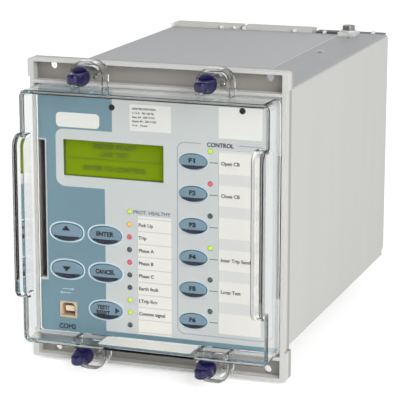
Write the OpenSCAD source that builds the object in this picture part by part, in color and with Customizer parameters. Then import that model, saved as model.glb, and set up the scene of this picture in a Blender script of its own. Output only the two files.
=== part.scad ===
// Panel-mounted protection relay: a sheet-metal case behind a moulded front frame, a withdrawable
// element with display, keys and lamps, and a clear front cover held by four turn fasteners.
// Millimetres. X to the right, Y into the panel, Z up; the panel's front face is the plane y = 0.

/* [Front frame] */
// Width of the front frame
front_w = 155.5; // [154:0.5:160]
// Height of the front frame
front_h = 177; // [176:0.5:181]
// Depth of the frame in front of the panel
frame_d = 10; // [9:0.5:12]
// Thickness of the web that lies on the panel
web_t = 3; // [2:0.25:3.5]
// Width of each side post
post_w = 3.75; // [3.25:0.25:4.25]
// Height of the fixing channels above and below the fascia
channel_h = 10.3; // [9.8:0.1:10.8]
// Thickness of the outer rims
rim_t = 2; // [1.5:0.1:2]
// Thickness of the ribs between a channel and the fascia
rib_t = 2; // [1.5:0.1:2.5]
// How much the posts are slimmed beside the case
side_relief = 1.2; // [0.6:0.1:1.4]
// Panel fixing hole diameter
fix_d = 4.8; // [4.2:0.1:4.8]
// Fixing hole centre from the frame's side
fix_in_x = 13; // [10:0.5:16]
// Fixing hole centre from the frame's top or bottom
fix_in_z = 4.5; // [4.5:0.1:6]

/* [Case] */
// How far the case's top lies below the frame's top
case_top_in = 10.7; // [9.5:0.1:11.5]
// How far the case's bottom lies above the frame's bottom
case_low_in = 17; // [16:0.1:17.5]
// How far each case side lies inside the frame's side
case_inset = 2; // [1.8:0.1:2.6]
// Depth of the case behind the panel
case_d = 220; // [210:1:240]
// Sheet thickness of the case
sheet_t = 1.2; // [0.9:0.1:1.5]
// Outer bend radius of the sheet
bend_r = 2.4; // [1.8:0.1:3]
// Width of the side panel's top and bottom flanges
flange_w = 31; // [24:0.5:36]
// Size of the chamfer on the side panel's lower rear corner
corner_cut = 7; // [4:0.5:10]
// Rivet head diameter
rivet_d = 5; // [4:0.5:6]
// First pair of rivets, from the case's back
rivet_back_1 = 20; // [16:1:30]
// Second pair of rivets, from the case's back
rivet_back_2 = 86; // [60:1:120]

/* [Rear terminals] */
// Gap between neighbouring terminal blocks
block_gap = 2.5; // [1:0.25:4]
// How far the blocks stand out behind the case
block_d = 12; // [9:0.5:14]
// Terminal rows in one block
block_rows = 14; // [10:1:14]
// Solid end of a block above and below its rows
block_end = 4.75; // [3:0.25:8]
// Thickness of the barriers between rows
barrier_t = 2; // [1.2:0.1:2.6]
// Depth of the terminal slots
slot_d = 6; // [4:0.5:8]
// Depth of the right block, which is lower than the others
right_block_d = 9; // [8:0.5:12]
// How far the right block's outer end lies inside the others' line
right_block_in = 2.5; // [2:0.25:3.5]
// Clearance above and below a terminal screw's head
term_screw_gap = 0.6; // [0.3:0.1:1]
// Earth screw thread diameter
earth_d = 4; // [3:0.5:5]

/* [Fascia] */
// How far the fascia lies behind the frame's front
fascia_set = 2.5; // [1.5:0.25:3]
// Thickness of the printed overlay
overlay_t = 0.5; // [0.3:0.1:0.8]
// Gap between the fascia's edge and the frame
fascia_gap = 0.5; // [0.3:0.1:0.8]
// Width of the finger notches in the fascia's sides
notch_w = 4.7; // [4.5:0.1:5]
// Height of the finger notches
notch_h = 82; // [60:1:90]
// Display opening width
lcd_w = 61.5; // [56:0.5:64]
// Display opening height
lcd_h = 21.4; // [18:0.2:24]
// Display centre across, as a ratio of half the fascia's width
lcd_ratio_x = -0.3605; // [-0.38:0.0005:-0.35]
// Display centre in height, as a ratio of half the element's height
lcd_ratio_z = 0.4185; // [0.4:0.0005:0.44]
// Space between the fascia and the keypad board
hmi_gap = 8; // [7:0.5:10]
// Port centre in height, as a ratio of half the element's height
port_ratio_z = -0.8835; // [-0.89:0.0005:-0.86]

/* [Keys] */
// Width of a menu key
menu_key_w = 19.8; // [17:0.2:20.4]
// Height of a menu key
menu_key_h = 10.2; // [8:0.2:11]
// Width of a function key
func_key_w = 16.4; // [14:0.2:17]
// Height of a function key
func_key_h = 8.6; // [7:0.2:10]
// How far the keys stand out of the overlay
key_proud = 1.6; // [1:0.1:2.2]
// Key travel
key_travel = 0.6; // [0.3:0.1:0.8]
// Clearance round a key
key_gap = 0.3; // [0.25:0.05:0.4]
// Left column of menu keys, as a ratio of half the fascia's width
menu_ratio_left = -0.755; // [-0.765:0.0005:-0.745]
// Right column of menu keys, as a ratio of half the fascia's width
menu_ratio_right = -0.4285; // [-0.44:0.0005:-0.42]
// First row of menu keys, as a ratio of half the element's height
menu_ratio_z = -0.212; // [-0.24:0.0005:-0.18]
// Distance between rows of menu keys, as a ratio of half the element's height
menu_ratio_step = 0.3215; // [0.3:0.0005:0.325]
// Column of function keys, as a ratio of half the fascia's width
func_ratio_x = 0.2995; // [0.27:0.0005:0.31]
// First function key, as a ratio of half the element's height
func_ratio_z = 0.463; // [0.45:0.0005:0.49]
// Distance between function keys, as a ratio of half the element's height
func_ratio_step = 0.2665; // [0.25:0.0005:0.27]

/* [Lamps] */
// Lamp diameter
lamp_d = 3; // [2:0.1:3.4]
// Column of status lamps, as a ratio of half the fascia's width
lamp_ratio_x = -0.2285; // [-0.235:0.0005:-0.21]
// First status lamp, as a ratio of half the element's height
lamp_ratio_z = 0.005; // [-0.01:0.0005:0.03]
// Distance between status lamps, as a ratio of half the element's height
lamp_ratio_step = 0.1075; // [0.09:0.0005:0.108]
// How far a function lamp stands to the right of its key's middle
func_lamp_right = 10; // [9:0.1:11]
// How far a function lamp stands above its key's middle
func_lamp_up = 6.4; // [6:0.1:7]

/* [Cover] */
// How far the cover stands in front of the frame
cover_d = 21; // [18:0.5:26]
// Wall of the cover
cover_t = 2.5; // [1.8:0.1:3]
// How far the cover's sides lie inside the frame's sides
cover_inset = 4; // [3.8:0.1:5]
// Width of the grip ribs
grip_w = 7; // [6:0.5:10]
// How far the grip ribs stand out of the cover
grip_d = 11; // [7:0.5:13]
// Height of the grip ribs
grip_h = 95; // [70:1:110]
// Height of the grip ribs' middle
grip_z = 2; // [-4:0.5:6]
// Width of the fastener lugs
lug_w = 20; // [18:0.5:24]
// Depth of the fastener lugs
lug_d = 9.7; // [8:0.1:12]
// Lug centre from the cover's middle
lug_x = 37.5; // [30:0.5:44]
// How far the lugs reach past the fastener's axis
lug_reach = 8.5; // [8:0.25:9.5]

/* [Fasteners] */
// Diameter of the fastener's flange
knob_d = 11.5; // [10:0.5:14]
// Length of the fastener's wing
wing_len = 12.5; // [10:0.5:18]
// Width of the fastener's wing
wing_w = 10; // [7:0.5:10]
// Thickness of the fastener's wing
wing_t = 6; // [4:0.2:6]
// Shank diameter
shank_d = 6; // [5:0.1:6.4]
// Radial running clearance of the shank
shank_gap = 0.05; // [0.02:0.01:0.1]

/* [Element] */
// Thickness of the circuit boards
board_t = 1.6; // [1:0.1:2.4]
// Thickness of the element's top and bottom plates
plate_t = 1.2; // [0.8:0.1:1.5]
// Clearance above and below the sliding element
slide_gap = 0.8; // [0.6:0.1:1]
// Distance from the boards' rear edge to the case's back
board_back = 32; // [30:1:50]

/* [Hidden] */
$fn = 48;
// Overrun of every cut past the face that it opens
cut = 1;
// Gap where a piece stops against the frame
stop_gap = 0.3;

// Frame: half sizes of the outline, the fascia well and the channels
frame_x = front_w / 2;
frame_z = front_h / 2;
frame_r = 1.5;
well_x = frame_x - post_w;
channel_top = frame_z - rim_t;
channel_low = channel_top - channel_h;
well_z = channel_low - rib_t;
fix_x = frame_x - fix_in_x;
fix_z = frame_z - fix_in_z;
knob_z = (channel_top + channel_low) / 2;
// A fastener stands to the left of its lug's middle and the seal hole to the right
knob_shift = -3;
seal_shift = 5.5;
seal_d = 2;
socket_gap = 0.7;
socket_d = shank_d + 2 * socket_gap;

// Case: the side panel's flanges lie outside the wrap
case_x = frame_x - case_inset;
case_top = frame_z - case_top_in;
case_low = -frame_z + case_low_in;
wrap_top = case_top - sheet_t;
wrap_low = case_low + sheet_t;
inner_x = case_x - sheet_t;
inner_top = wrap_top - sheet_t;
inner_low = wrap_low + sheet_t;
window_lip = 1;
window_x = inner_x - window_lip;
rivet_in = 9.5;
rivet_h = 1.1;
rear_side_gap = 2;

// Rear terminals
block_step = 1;
block_lip = 1.2;
block_low = case_low + block_step;
block_top = case_top + block_lip;
block_mid = (block_top + block_low) / 2;
block_pitch = 2 * case_x / 3;
block_w = block_pitch - block_gap;
row_pitch = (block_top - block_low - 2 * block_end) / block_rows;
term_screw_d = row_pitch - barrier_t - 2 * term_screw_gap;
centre_wall = 4;
body_in_x = 4;
body_w = block_w - 2 * body_in_x;
body_margin = 9;
body_in = 16;
groove_w = 4;
groove_d = 8;
tongue_gap = 0.4;
tongue_end = 2;
term_head_h = 2.4;
term_slot = 1.2;
earth_in = 23.75;
earth_back = 11;
earth_x = case_x - earth_in;
earth_y = case_d - earth_back;
earth_plate = 12;
earth_plate_t = 2.4;
earth_head_d = 8;
earth_head_h = 3;
earth_washer_t = 1.2;
washer_in = 1;

// Fascia: front faces from the overlay back to the keypad board
overlay_y = -(frame_d - fascia_set);
fascia_y = overlay_y + overlay_t;
fascia_back = -web_t - stop_gap;
board_y = fascia_back + hmi_gap;
fascia_x = well_x - fascia_gap;
fascia_z = well_z - fascia_gap;
notch_x = fascia_x - notch_w;
fascia_r = 2;
overlay_margin = 1.2;
lamp_gap = 0.1;
lamp_hole = lamp_d + 2 * lamp_gap;
lamp_proud = 0.3;
window_gap = 0.1;
lcd_frame_rim = 3.2;
port_w = 11.2;
port_h = 9.8;
port_in = [8.4, 7.8];
port_gap = 0.15;
port_flush = 0.3;
tongue_w = 5.6;
tongue_h = 3.2;
tongue_in = 3;
card_set = 0.1;
card_t = overlay_t - card_set;
boss_d = 6.4;
pilot_d = 2.6;
screw_gap = 0.1;
screw_head_d = 5.4;
screw_head_h = 2;
screw_len = 6;
screw_tip = 1;

// Keys: a flange behind the fascia holds each one in
key_flange = 0.5;
key_flange_t = 1;
key_plunger_d = 4;
key_crown_r = 34;
switch_w = 6;
switch_h = 3.5;
switch_rest = 0.1;

// Element
elem_top = min(well_z, inner_top) - slide_gap;
elem_low = inner_low + slide_gap;
board_top = elem_top - plate_t;
board_low = elem_low + plate_t;
plate_in = 4.55;
plate_x = inner_x - plate_in;
board_end = case_d - board_back;
plate_over = 4;
plate_end = board_end + plate_over;
tab_in = 8;
tab_x = plate_x - tab_in;
low_tab_in = 25;
top_tab = 10.7;
low_tab = 2;
rail_gap = 0.4;
rail_t = 1.2;
rail_run = 0.3;
rail_start = 6;
rail_end_gap = 20;
rail_lip = 5;
rail_flange = 11;
pocket_t = 1.1;
pocket_hook = 1.5;
pocket_deep = 10;
pocket_side_gap = 0.5;
board_start = 14;
keypad_gap = 0.5;
keypad_x = notch_x - pocket_hook - pocket_t - keypad_gap;
keypad_top = board_top - top_tab - keypad_gap;
keypad_low = board_low + low_tab + keypad_gap;
analogue_x = -0.714 * plate_x;
processor_x = -0.086 * plate_x;
power_x = 0.571 * plate_x;
board_mid_y = (board_start + board_end) / 2;
board_mid_z = (board_top + board_low) / 2;
board_half_y = (board_end - board_start) / 2;
board_half_z = (board_top - board_low) / 2;
ring_d = 36;
ring_hole_d = 13;
ring_t = 17;
ring_edge_r = 4;
relay_w = 16;
relay_l = 29;
relay_h = 12.7;
relay_gap = 4;
relay_count = 6;
relay_back = 50;
core_w = 20;
core_l = 32;
core_h = 28;
bobbin_over = 3;
bobbin_in = 6;
can_d = 18;
can_h = 25;
can_groove = 0.7;
can_gap = 3;
chip_t = 2.4;
chip_side = 24;
connector_in = 2;
connector_w = body_w - 2 * connector_in;
connector_d = 11.5;
connector_margin = 4;

// Places on the fascia, from ratios of its half width and of the element's half height
boss_in = 3.7;
boss_x = keypad_x - boss_in;
lcd_at = [face_x(lcd_ratio_x), face_z(lcd_ratio_z)];
port_at = [face_x(menu_ratio_left), face_z(port_ratio_z)];
status_card = [face_x(-0.1605), face_x(0.1225), face_z(-1.036), face_z(-0.025)];
control_card = [face_x(0.5035), face_x(0.8515), face_z(-0.964), face_z(0.572)];
boss_at = [[-boss_x, face_z(0.753)], [boss_x, face_z(0.753)], [-boss_x, face_z(-0.711)],
    [boss_x, face_z(-0.898)]];

// Cover and fasteners
cover_x = frame_x - cover_inset;
cover_drop = 0.4;
cover_z = well_z - cover_drop;
cover_back = -frame_d - stop_gap;
cover_y = -frame_d - cover_d;
cover_r = 4;
grip_y = cover_y - grip_d;
grip_r = 7;
lug_y = cover_back - lug_d;
lug_z = knob_z + lug_reach;
lug_r = 8;
knob_flange_t = 1.8;
hub_d = 8.6;
hub_h = 2;
collar_d = 9;
collar_t = 1;
knob_gap = 0.1;
wing_taper = 1.2;
shank_end = -0.8;

function face_x(ratio) = ratio * fascia_x;
function face_z(ratio) = board_mid_z + ratio * board_half_z;
function menu_row(i) = face_z(menu_ratio_z - i * menu_ratio_step);
function func_row(i) = face_z(func_ratio_z - i * func_ratio_step);
function status_at(i) = [face_x(lamp_ratio_x), face_z(lamp_ratio_z - i * lamp_ratio_step)];
function func_lamp(i) = [face_x(func_ratio_x) + func_lamp_right, func_row(i) + func_lamp_up];
function block_x(i) = (i - 1) * block_pitch;
function block_floor(i) = case_d + (i == 2 ? right_block_d : block_d) - slot_d;
function term_z(i) = block_mid + (i - (block_rows - 1) / 2) * row_pitch;

status_count = 10;
func_count = 6;
all_lamps = concat([for (i = [0 : status_count - 1]) status_at(i)],
    [for (i = [0 : func_count - 1]) func_lamp(i)]);
menu_left = face_x(menu_ratio_left);
menu_right = face_x(menu_ratio_right);
menu_keys = [[menu_left, menu_row(0)], [menu_left, menu_row(1)], [menu_right, menu_row(0)],
    [menu_right, menu_row(1)], [menu_right, menu_row(2)]];
func_keys = [for (i = [0 : func_count - 1]) [face_x(func_ratio_x), func_row(i)]];

// Extrudes an outline drawn in X and Z from y0 to y1
module prism_y(y0, y1) {
    translate([0, y1, 0]) rotate([90, 0, 0]) linear_extrude(height = y1 - y0) children();
}

// Extrudes an outline drawn in Y and Z from x0 to x1
module prism_x(x0, x1) {
    translate([x0, 0, 0]) rotate([90, 0, 90]) linear_extrude(height = x1 - x0) children();
}

// Box between two corners
module box(low, high) {
    translate(low) cube(high - low);
}

// Rectangle between two corners with round corners
module round_rect(x0, x1, z0, z1, r) {
    translate([x0 + r, z0]) square([x1 - x0 - 2 * r, z1 - z0]);
    translate([x0, z0 + r]) square([x1 - x0, z1 - z0 - 2 * r]);
    for (x = [x0 + r, x1 - r], z = [z0 + r, z1 - r])
        translate([x, z]) circle(r);
}

module rect(x0, x1, z0, z1) {
    translate([x0, z0]) square([x1 - x0, z1 - z0]);
}

// Ellipse of the given width and height
module oval(w, h) {
    sides = 40;
    polygon([for (i = [0 : sides - 1]) [w / 2 * cos(360 * i / sides), h / 2 * sin(360 * i / sides)]]);
}

// Cylinder along Y
module rod_y(x, z, y0, y1, d) {
    translate([x, y1, z]) rotate([90, 0, 0]) cylinder(h = y1 - y0, d = d);
}

// Front frame

module frame_outline() {
    difference() {
        round_rect(-frame_x, frame_x, -frame_z, frame_z, frame_r);
        for (side = [-1, 1])
            translate([side * frame_x, (case_top + case_low) / 2])
                square([2 * side_relief, case_top - case_low], center = true);
    }
}

module front_bezel() {
    color("gainsboro") difference() {
        prism_y(-frame_d, 0) frame_outline();
        prism_y(-frame_d - cut, -web_t) {
            rect(-well_x, well_x, -well_z, well_z);
            rect(-well_x, well_x, channel_low, channel_top);
            rect(-well_x, well_x, -channel_top, -channel_low);
        }
        prism_y(-web_t - cut, cut) rect(-window_x, window_x, inner_low, min(well_z, inner_top));
        for (side = [-1, 1], end = [-1, 1]) {
            rod_y(side * fix_x, end * fix_z, -web_t - cut, cut, fix_d);
            rod_y(side * lug_x + knob_shift, end * knob_z, -web_t - cut, cut, socket_d);
        }
    }
}

// Case

module case_wrap() {
    end_gap = 1.5;
    color("lightgray") prism_y(0, case_d) difference() {
        round_rect(-case_x, case_x + bend_r, wrap_low, wrap_top, bend_r);
        round_rect(-inner_x, case_x + 2 * bend_r, inner_low, inner_top, bend_r - sheet_t);
        rect(inner_x - end_gap, case_x + 3 * bend_r, case_low, case_top);
    }
}

module side_panel() {
    color("silver") difference() {
        prism_y(0, case_d) difference() {
            round_rect(-case_x, case_x, case_low, case_top, bend_r);
            rect(-case_x - cut, inner_x, wrap_low, wrap_top);
            rect(-case_x - cut, case_x - flange_w, case_low - cut, case_top + cut);
        }
        prism_x(inner_x - cut, case_x + cut)
            polygon([[case_d - corner_cut, wrap_low], [case_d + cut, wrap_low],
                [case_d + cut, wrap_low + corner_cut]]);
    }
}

module rear_plate() {
    half = body_w / 2 + stop_gap;
    margin = body_margin - stop_gap;
    color("silver") prism_y(case_d - sheet_t, case_d) difference() {
        round_rect(-inner_x, inner_x - rear_side_gap, inner_low, inner_top, bend_r);
        for (i = [0 : 2])
            rect(block_x(i) - half, block_x(i) + half, block_low + margin, block_top - margin);
    }
}

// Barrier block: rows of terminal slots outside, a contact groove inside
module terminal_block(i) {
    last = i == 2;
    back = block_floor(i) + slot_d;
    top = last ? case_top : block_top;
    end = block_w / 2 - (last ? right_block_in : 0);
    translate([block_x(i), 0, 0]) {
        difference() {
            union() {
                box([-block_w / 2, case_d, block_low], [end, back, top]);
                box([-body_w / 2, case_d - body_in, block_low + body_margin],
                    [body_w / 2, case_d + cut, block_top - body_margin]);
            }
            for (row = [0 : block_rows - 1])
                translate([0, back, term_z(row)])
                    cube([block_w + 2 * cut, 2 * slot_d, row_pitch - barrier_t], center = true);
            box([-groove_w / 2, case_d - body_in - cut, block_low + 2 * body_margin],
                [groove_w / 2, case_d - body_in + groove_d, block_top - 2 * body_margin]);
        }
        // Low wall between the two columns of screws
        box([-centre_wall / 2, back - slot_d, term_z(0) - row_pitch / 2],
            [centre_wall / 2, back - slot_d + term_head_h, term_z(block_rows - 1) + row_pitch / 2]);
    }
}

module terminal_block_left() {
    color("gainsboro") terminal_block(0);
}

module terminal_block_centre() {
    color("gainsboro") terminal_block(1);
}

module terminal_block_right() {
    color("dimgray") terminal_block(2);
}

module terminal_screws() {
    column = (block_w + centre_wall) / 4;
    color("khaki") for (i = [0 : 2], row = [0 : block_rows - 1], side = [-1, 1])
        translate([block_x(i) + side * column, block_floor(i), term_z(row)]) difference() {
            rod_y(0, 0, 0, term_head_h, term_screw_d);
            translate([0, term_head_h, 0])
                cube([term_screw_d + cut, 2 * term_slot, term_slot], center = true);
        }
}

module earth_screw() {
    seat = earth_plate_t + earth_washer_t;
    color("khaki") translate([earth_x, earth_y, case_top + seat]) difference() {
        union() {
            cylinder(h = earth_head_h, d = earth_head_d);
            translate([0, 0, -seat]) cylinder(h = earth_head_h + seat, d = earth_d);
        }
        translate([0, 0, earth_head_h])
            cube([earth_head_d + cut, term_slot, 2 * term_slot], center = true);
    }
}

module earth_washer() {
    color("silver") translate([earth_x, earth_y, case_top]) difference() {
        union() {
            translate([0, 0, earth_plate_t / 2])
                cube([earth_plate, earth_plate, earth_plate_t], center = true);
            translate([0, 0, earth_plate_t])
                cylinder(h = earth_washer_t, d = earth_plate - 2 * washer_in);
        }
        translate([0, 0, -cut])
            cylinder(h = earth_plate_t + earth_washer_t + 2 * cut, d = earth_d + 2 * screw_gap);
    }
}

module case_rivets() {
    dome_r = (rivet_h * rivet_h + rivet_d * rivet_d / 4) / (2 * rivet_h);
    color("silver") for (back = [rivet_back_1, rivet_back_2], end = [0, 1])
        translate([case_x - flange_w + rivet_in, case_d - back, end == 0 ? case_top : case_low])
            mirror([0, 0, end])
            intersection() {
                cylinder(h = rivet_h + cut, d = rivet_d);
                translate([0, 0, rivet_h - dome_r]) sphere(dome_r);
            }
}

// Angle rails that the element's plates run in
module upper_guide_rails() {
    color("darkgray") for (side = [0, 1]) mirror([side, 0, 0]) {
        box([plate_x + rail_gap, rail_start, elem_top - rail_lip],
            [plate_x + rail_gap + rail_t, case_d - rail_end_gap, inner_top]);
        box([plate_x + rail_gap - rail_flange, rail_start, elem_top + rail_run],
            [plate_x + rail_gap + rail_t, case_d - rail_end_gap, inner_top]);
    }
}

module lower_guide_rails() {
    color("darkgray") for (side = [0, 1]) mirror([side, 0, 0]) {
        box([plate_x + rail_gap, rail_start, inner_low],
            [plate_x + rail_gap + rail_t, case_d - rail_end_gap, elem_low + rail_lip]);
        box([plate_x + rail_gap - rail_flange, rail_start, inner_low],
            [plate_x + rail_gap + rail_t, case_d - rail_end_gap, elem_low - rail_run]);
    }
}

// Fascia and what it carries

module fascia_outline(margin) {
    difference() {
        round_rect(-fascia_x + margin, fascia_x - margin, -fascia_z + margin, fascia_z - margin, fascia_r);
        for (side = [-1, 1])
            translate([side * fascia_x, 0])
                square([2 * (notch_w + margin), notch_h + 2 * margin], center = true);
    }
}

// Everything that reaches through the fascia and the overlay
module fascia_holes() {
    for (at = menu_keys)
        translate(at) oval(menu_key_w + 2 * key_gap, menu_key_h + 2 * key_gap);
    for (at = func_keys)
        translate(at) oval(func_key_w + 2 * key_gap, func_key_h + 2 * key_gap);
    for (at = all_lamps)
        translate(at) circle(d = lamp_hole);
    translate(lcd_at) square([lcd_w, lcd_h], center = true);
    translate(port_at) square([port_w + 2 * port_gap, port_h + 2 * port_gap], center = true);
}

module fascia_moulding() {
    color("gainsboro") {
        prism_y(fascia_y, fascia_back) difference() {
            fascia_outline(0);
            fascia_holes();
        }
        for (at = boss_at) difference() {
            rod_y(at[0], at[1], fascia_back, board_y, boss_d);
            rod_y(at[0], at[1], board_y - screw_len, board_y + cut, pilot_d + 2 * screw_gap);
        }
    }
}

module fascia_overlay() {
    color("lightsteelblue") prism_y(overlay_y, fascia_y) difference() {
        fascia_outline(overlay_margin);
        fascia_holes();
        rect(status_card[0], status_card[1], status_card[2], status_card[3]);
        rect(control_card[0], control_card[1], control_card[2], control_card[3]);
    }
}

module label_card(at) {
    prism_y(fascia_y - card_t, fascia_y)
        rect(at[0] + window_gap, at[1] - window_gap, at[2] + window_gap, at[3] - window_gap);
}

module status_label_card() {
    color("white") label_card(status_card);
}

module control_label_card() {
    color("white") label_card(control_card);
}

module lcd_window() {
    color("honeydew", 0.5) prism_y(fascia_y, fascia_back) translate(lcd_at)
        square([lcd_w - 2 * window_gap, lcd_h - 2 * window_gap], center = true);
}

module lcd_frame() {
    color("dimgray") prism_y(fascia_back, board_y) translate(lcd_at) difference() {
        square([lcd_w + 2 * lcd_frame_rim, lcd_h + 2 * lcd_frame_rim], center = true);
        square([lcd_w, lcd_h], center = true);
    }
}

module lcd_glass() {
    color("yellowgreen") prism_y(fascia_back, board_y) translate(lcd_at)
        square([lcd_w - 2 * window_gap, lcd_h - 2 * window_gap], center = true);
}

module keypad_board() {
    color("darkgreen") difference() {
        box([-keypad_x, board_y, keypad_low], [keypad_x, board_y + board_t, keypad_top]);
        for (at = boss_at)
            rod_y(at[0], at[1], board_y - cut, board_y + board_t + cut, pilot_d + 4 * screw_gap);
    }
}

module board_screws() {
    color("silver") for (at = boss_at) {
        rod_y(at[0], at[1], board_y + board_t, board_y + board_t + screw_head_h, screw_head_d);
        rod_y(at[0], at[1], board_y - screw_len + screw_tip, board_y + board_t + screw_head_h / 2, pilot_d);
    }
}

module key_switches() {
    color("dimgray") for (at = concat(menu_keys, func_keys))
        translate([at[0], board_y - switch_h / 2, at[1]])
            cube([switch_w, switch_h, switch_w], center = true);
}

// Moulded lamp: round body with a domed front and a foot on the board
module lamp(at) {
    tip = board_y - overlay_y + lamp_proud;
    foot_r = lamp_d / 2 + 0.45;
    foot_h = 1;
    dome = 0.5;
    translate([at[0], board_y, at[1]]) rotate([90, 0, 0]) rotate_extrude()
        polygon([[0, 0], [foot_r, 0], [foot_r, foot_h], [lamp_d / 2, foot_h], [lamp_d / 2, tip - dome],
            [lamp_d / 2 - dome, tip], [0, tip]]);
}

module lamps_green() {
    color("limegreen") for (at = [status_at(0), status_at(7), status_at(8), func_lamp(0), func_lamp(3)])
        lamp(at);
}

module lamps_amber() {
    color("orange") lamp(status_at(1));
}

module lamps_red() {
    color("crimson") for (at = [status_at(2), status_at(4), func_lamp(1)])
        lamp(at);
}

module lamps_unlit() {
    color("gray") for (at = [status_at(3), status_at(5), status_at(6), status_at(9), func_lamp(2),
            func_lamp(4), func_lamp(5)])
        lamp(at);
}

// Square data port: shell with two cut upper corners in its mouth, and the contact tongue inside
module port_shell() {
    chamfer = 1.6;
    color("tan") prism_y(overlay_y + port_flush, board_y) translate(port_at) difference() {
        square([port_w, port_h], center = true);
        polygon([[-port_in[0] / 2, -port_in[1] / 2], [port_in[0] / 2, -port_in[1] / 2],
            [port_in[0] / 2, port_in[1] / 2 - chamfer], [port_in[0] / 2 - chamfer, port_in[1] / 2],
            [-port_in[0] / 2 + chamfer, port_in[1] / 2], [-port_in[0] / 2, port_in[1] / 2 - chamfer]]);
    }
}

module port_tongue() {
    color("black") prism_y(overlay_y + tongue_in, board_y) translate(port_at)
        square([tongue_w, tongue_h], center = true);
}

// Finger pocket behind each side notch, with a hook behind the fascia's edge
module pull_handle() {
    inner = notch_x - pocket_hook;
    outer = window_x - pocket_side_gap;
    high = notch_h / 2;
    prism_y(fascia_back, pocket_deep) difference() {
        rect(inner - pocket_t, outer, -high - pocket_t, high + pocket_t);
        rect(inner, outer + cut, -high, high);
    }
    prism_y(pocket_deep - pocket_t, pocket_deep)
        rect(inner - pocket_t, outer, -high - pocket_t, high + pocket_t);
}

module left_pull_handle() {
    color("darkslategray") mirror([1, 0, 0]) pull_handle();
}

module right_pull_handle() {
    color("darkslategray") pull_handle();
}

// Element

module top_plate() {
    color("silver") {
        box([-plate_x, fascia_back, board_top], [plate_x, plate_end, elem_top]);
        box([-tab_x, fascia_back, board_top - top_tab],
            [tab_x, fascia_back + plate_t, board_top + plate_t / 2]);
    }
}

module bottom_plate() {
    color("silver") {
        box([-plate_x, fascia_back, elem_low], [plate_x, plate_end, board_low]);
        for (side = [0, 1]) mirror([side, 0, 0])
            box([low_tab_in, fascia_back, board_low - plate_t / 2],
                [tab_x, fascia_back + plate_t, board_low + low_tab]);
    }
}

module upright_board(x) {
    box([x, board_start, board_low], [x + board_t, board_end, board_top]);
}

// Moves a component to the board at x, by ratios of the board's half length and half height
module on_board(x, along, up) {
    translate([x + board_t, board_mid_y + along * board_half_y, board_mid_z + up * board_half_z]) children();
}

module analogue_board() {
    color("darkgreen") upright_board(analogue_x);
}

module processor_board() {
    color("darkgreen") upright_board(processor_x);
}

module power_board() {
    color("darkgreen") upright_board(power_x);
}

// Wound ring transformers lying flat on the analogue board
module current_transformers() {
    wide = (ring_d - ring_hole_d) / 2;
    color("goldenrod") for (i = [-1, 1], j = [-1, 1])
        on_board(analogue_x, i / 2, j / 2) rotate([0, 90, 0]) rotate_extrude() {
            translate([ring_hole_d / 2, 0]) square([wide - ring_edge_r, ring_t]);
            translate([ring_hole_d / 2, 0]) square([wide, ring_t - ring_edge_r]);
            translate([ring_d / 2 - ring_edge_r, ring_t - ring_edge_r]) circle(ring_edge_r);
        }
}

module output_relays() {
    step = relay_h + relay_gap;
    low = board_mid_z - (relay_count * step - relay_gap) / 2;
    color("midnightblue") for (i = [0 : relay_count - 1])
        translate([power_x + board_t, board_end - relay_back, low + i * step])
            cube([relay_w, relay_l, relay_h]);
}

module power_transformer() {
    color("saddlebrown") on_board(power_x, -0.6, -0.5) {
        translate([0, -core_l / 2, -core_h / 2]) cube([core_w, core_l, core_h]);
        translate([0, bobbin_in - core_l / 2, -bobbin_over - core_h / 2])
            cube([core_w + bobbin_over, core_l - 2 * bobbin_in, core_h + 2 * bobbin_over]);
    }
}

module smoothing_capacitors() {
    can_r = can_d / 2;
    neck_r = can_r - can_groove;
    foot = 4 * can_groove;
    color("darkslateblue") for (i = [0 : 2])
        on_board(power_x, -0.6, 0.45) translate([0, 0, (i - 1) * (can_d + can_gap)]) rotate([0, 90, 0])
            rotate_extrude()
                polygon([[0, 0], [can_r, 0], [can_r, foot], [neck_r, foot + can_groove],
                    [can_r, foot + 2 * can_groove], [can_r, can_h - can_groove], [neck_r, can_h],
                    [0, can_h]]);
}

// One chip in the board's middle and one in each quarter
module processor_chips() {
    quarters = [for (i = [-1, 1], j = [-1, 1]) [i, j] / 2];
    color("black") for (at = concat([[0, 0]], quarters))
        on_board(processor_x, at[0], at[1]) translate([0, -chip_side / 2, -chip_side / 2])
            cube([chip_t, chip_side, chip_side]);
}

// Contact blocks on the boards' rear edges, each with a tongue in its terminal block's groove
module rear_connectors() {
    low = block_low + 2 * body_margin + tongue_gap;
    high = block_top - 2 * body_margin - tongue_gap;
    reach = case_d - body_in + groove_d - tongue_end;
    color("ivory") for (i = [0 : 2]) translate([block_x(i), 0, 0]) {
        box([-connector_w / 2, board_end, low - connector_margin],
            [connector_w / 2, board_end + connector_d, high + connector_margin]);
        box([-groove_w / 2 + tongue_gap, board_end + connector_d - cut, low],
            [groove_w / 2 - tongue_gap, reach, high]);
    }
}

// Keys

// Oval key with a crowned top, a flange behind the fascia and a plunger over its switch
module key(at, w, h) {
    face = overlay_y - key_proud;
    flange_back = fascia_back + key_flange_t;
    plunger_end = board_y - switch_h - key_travel - switch_rest;
    grow = 2 * (key_gap + key_flange);
    translate([at[0], 0, at[1]]) {
        intersection() {
            prism_y(face, flange_back) oval(w, h);
            translate([0, face + key_crown_r, 0]) sphere(key_crown_r, $fn = 96);
        }
        prism_y(fascia_back, flange_back) oval(w + grow, h + grow);
        rod_y(0, 0, flange_back - key_flange_t / 2, plunger_end, key_plunger_d);
    }
}

module menu_key(i) {
    color("steelblue") key(menu_keys[i], menu_key_w, menu_key_h);
}

module func_key(i) {
    color("steelblue") key(func_keys[i], func_key_w, func_key_h);
}

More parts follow.
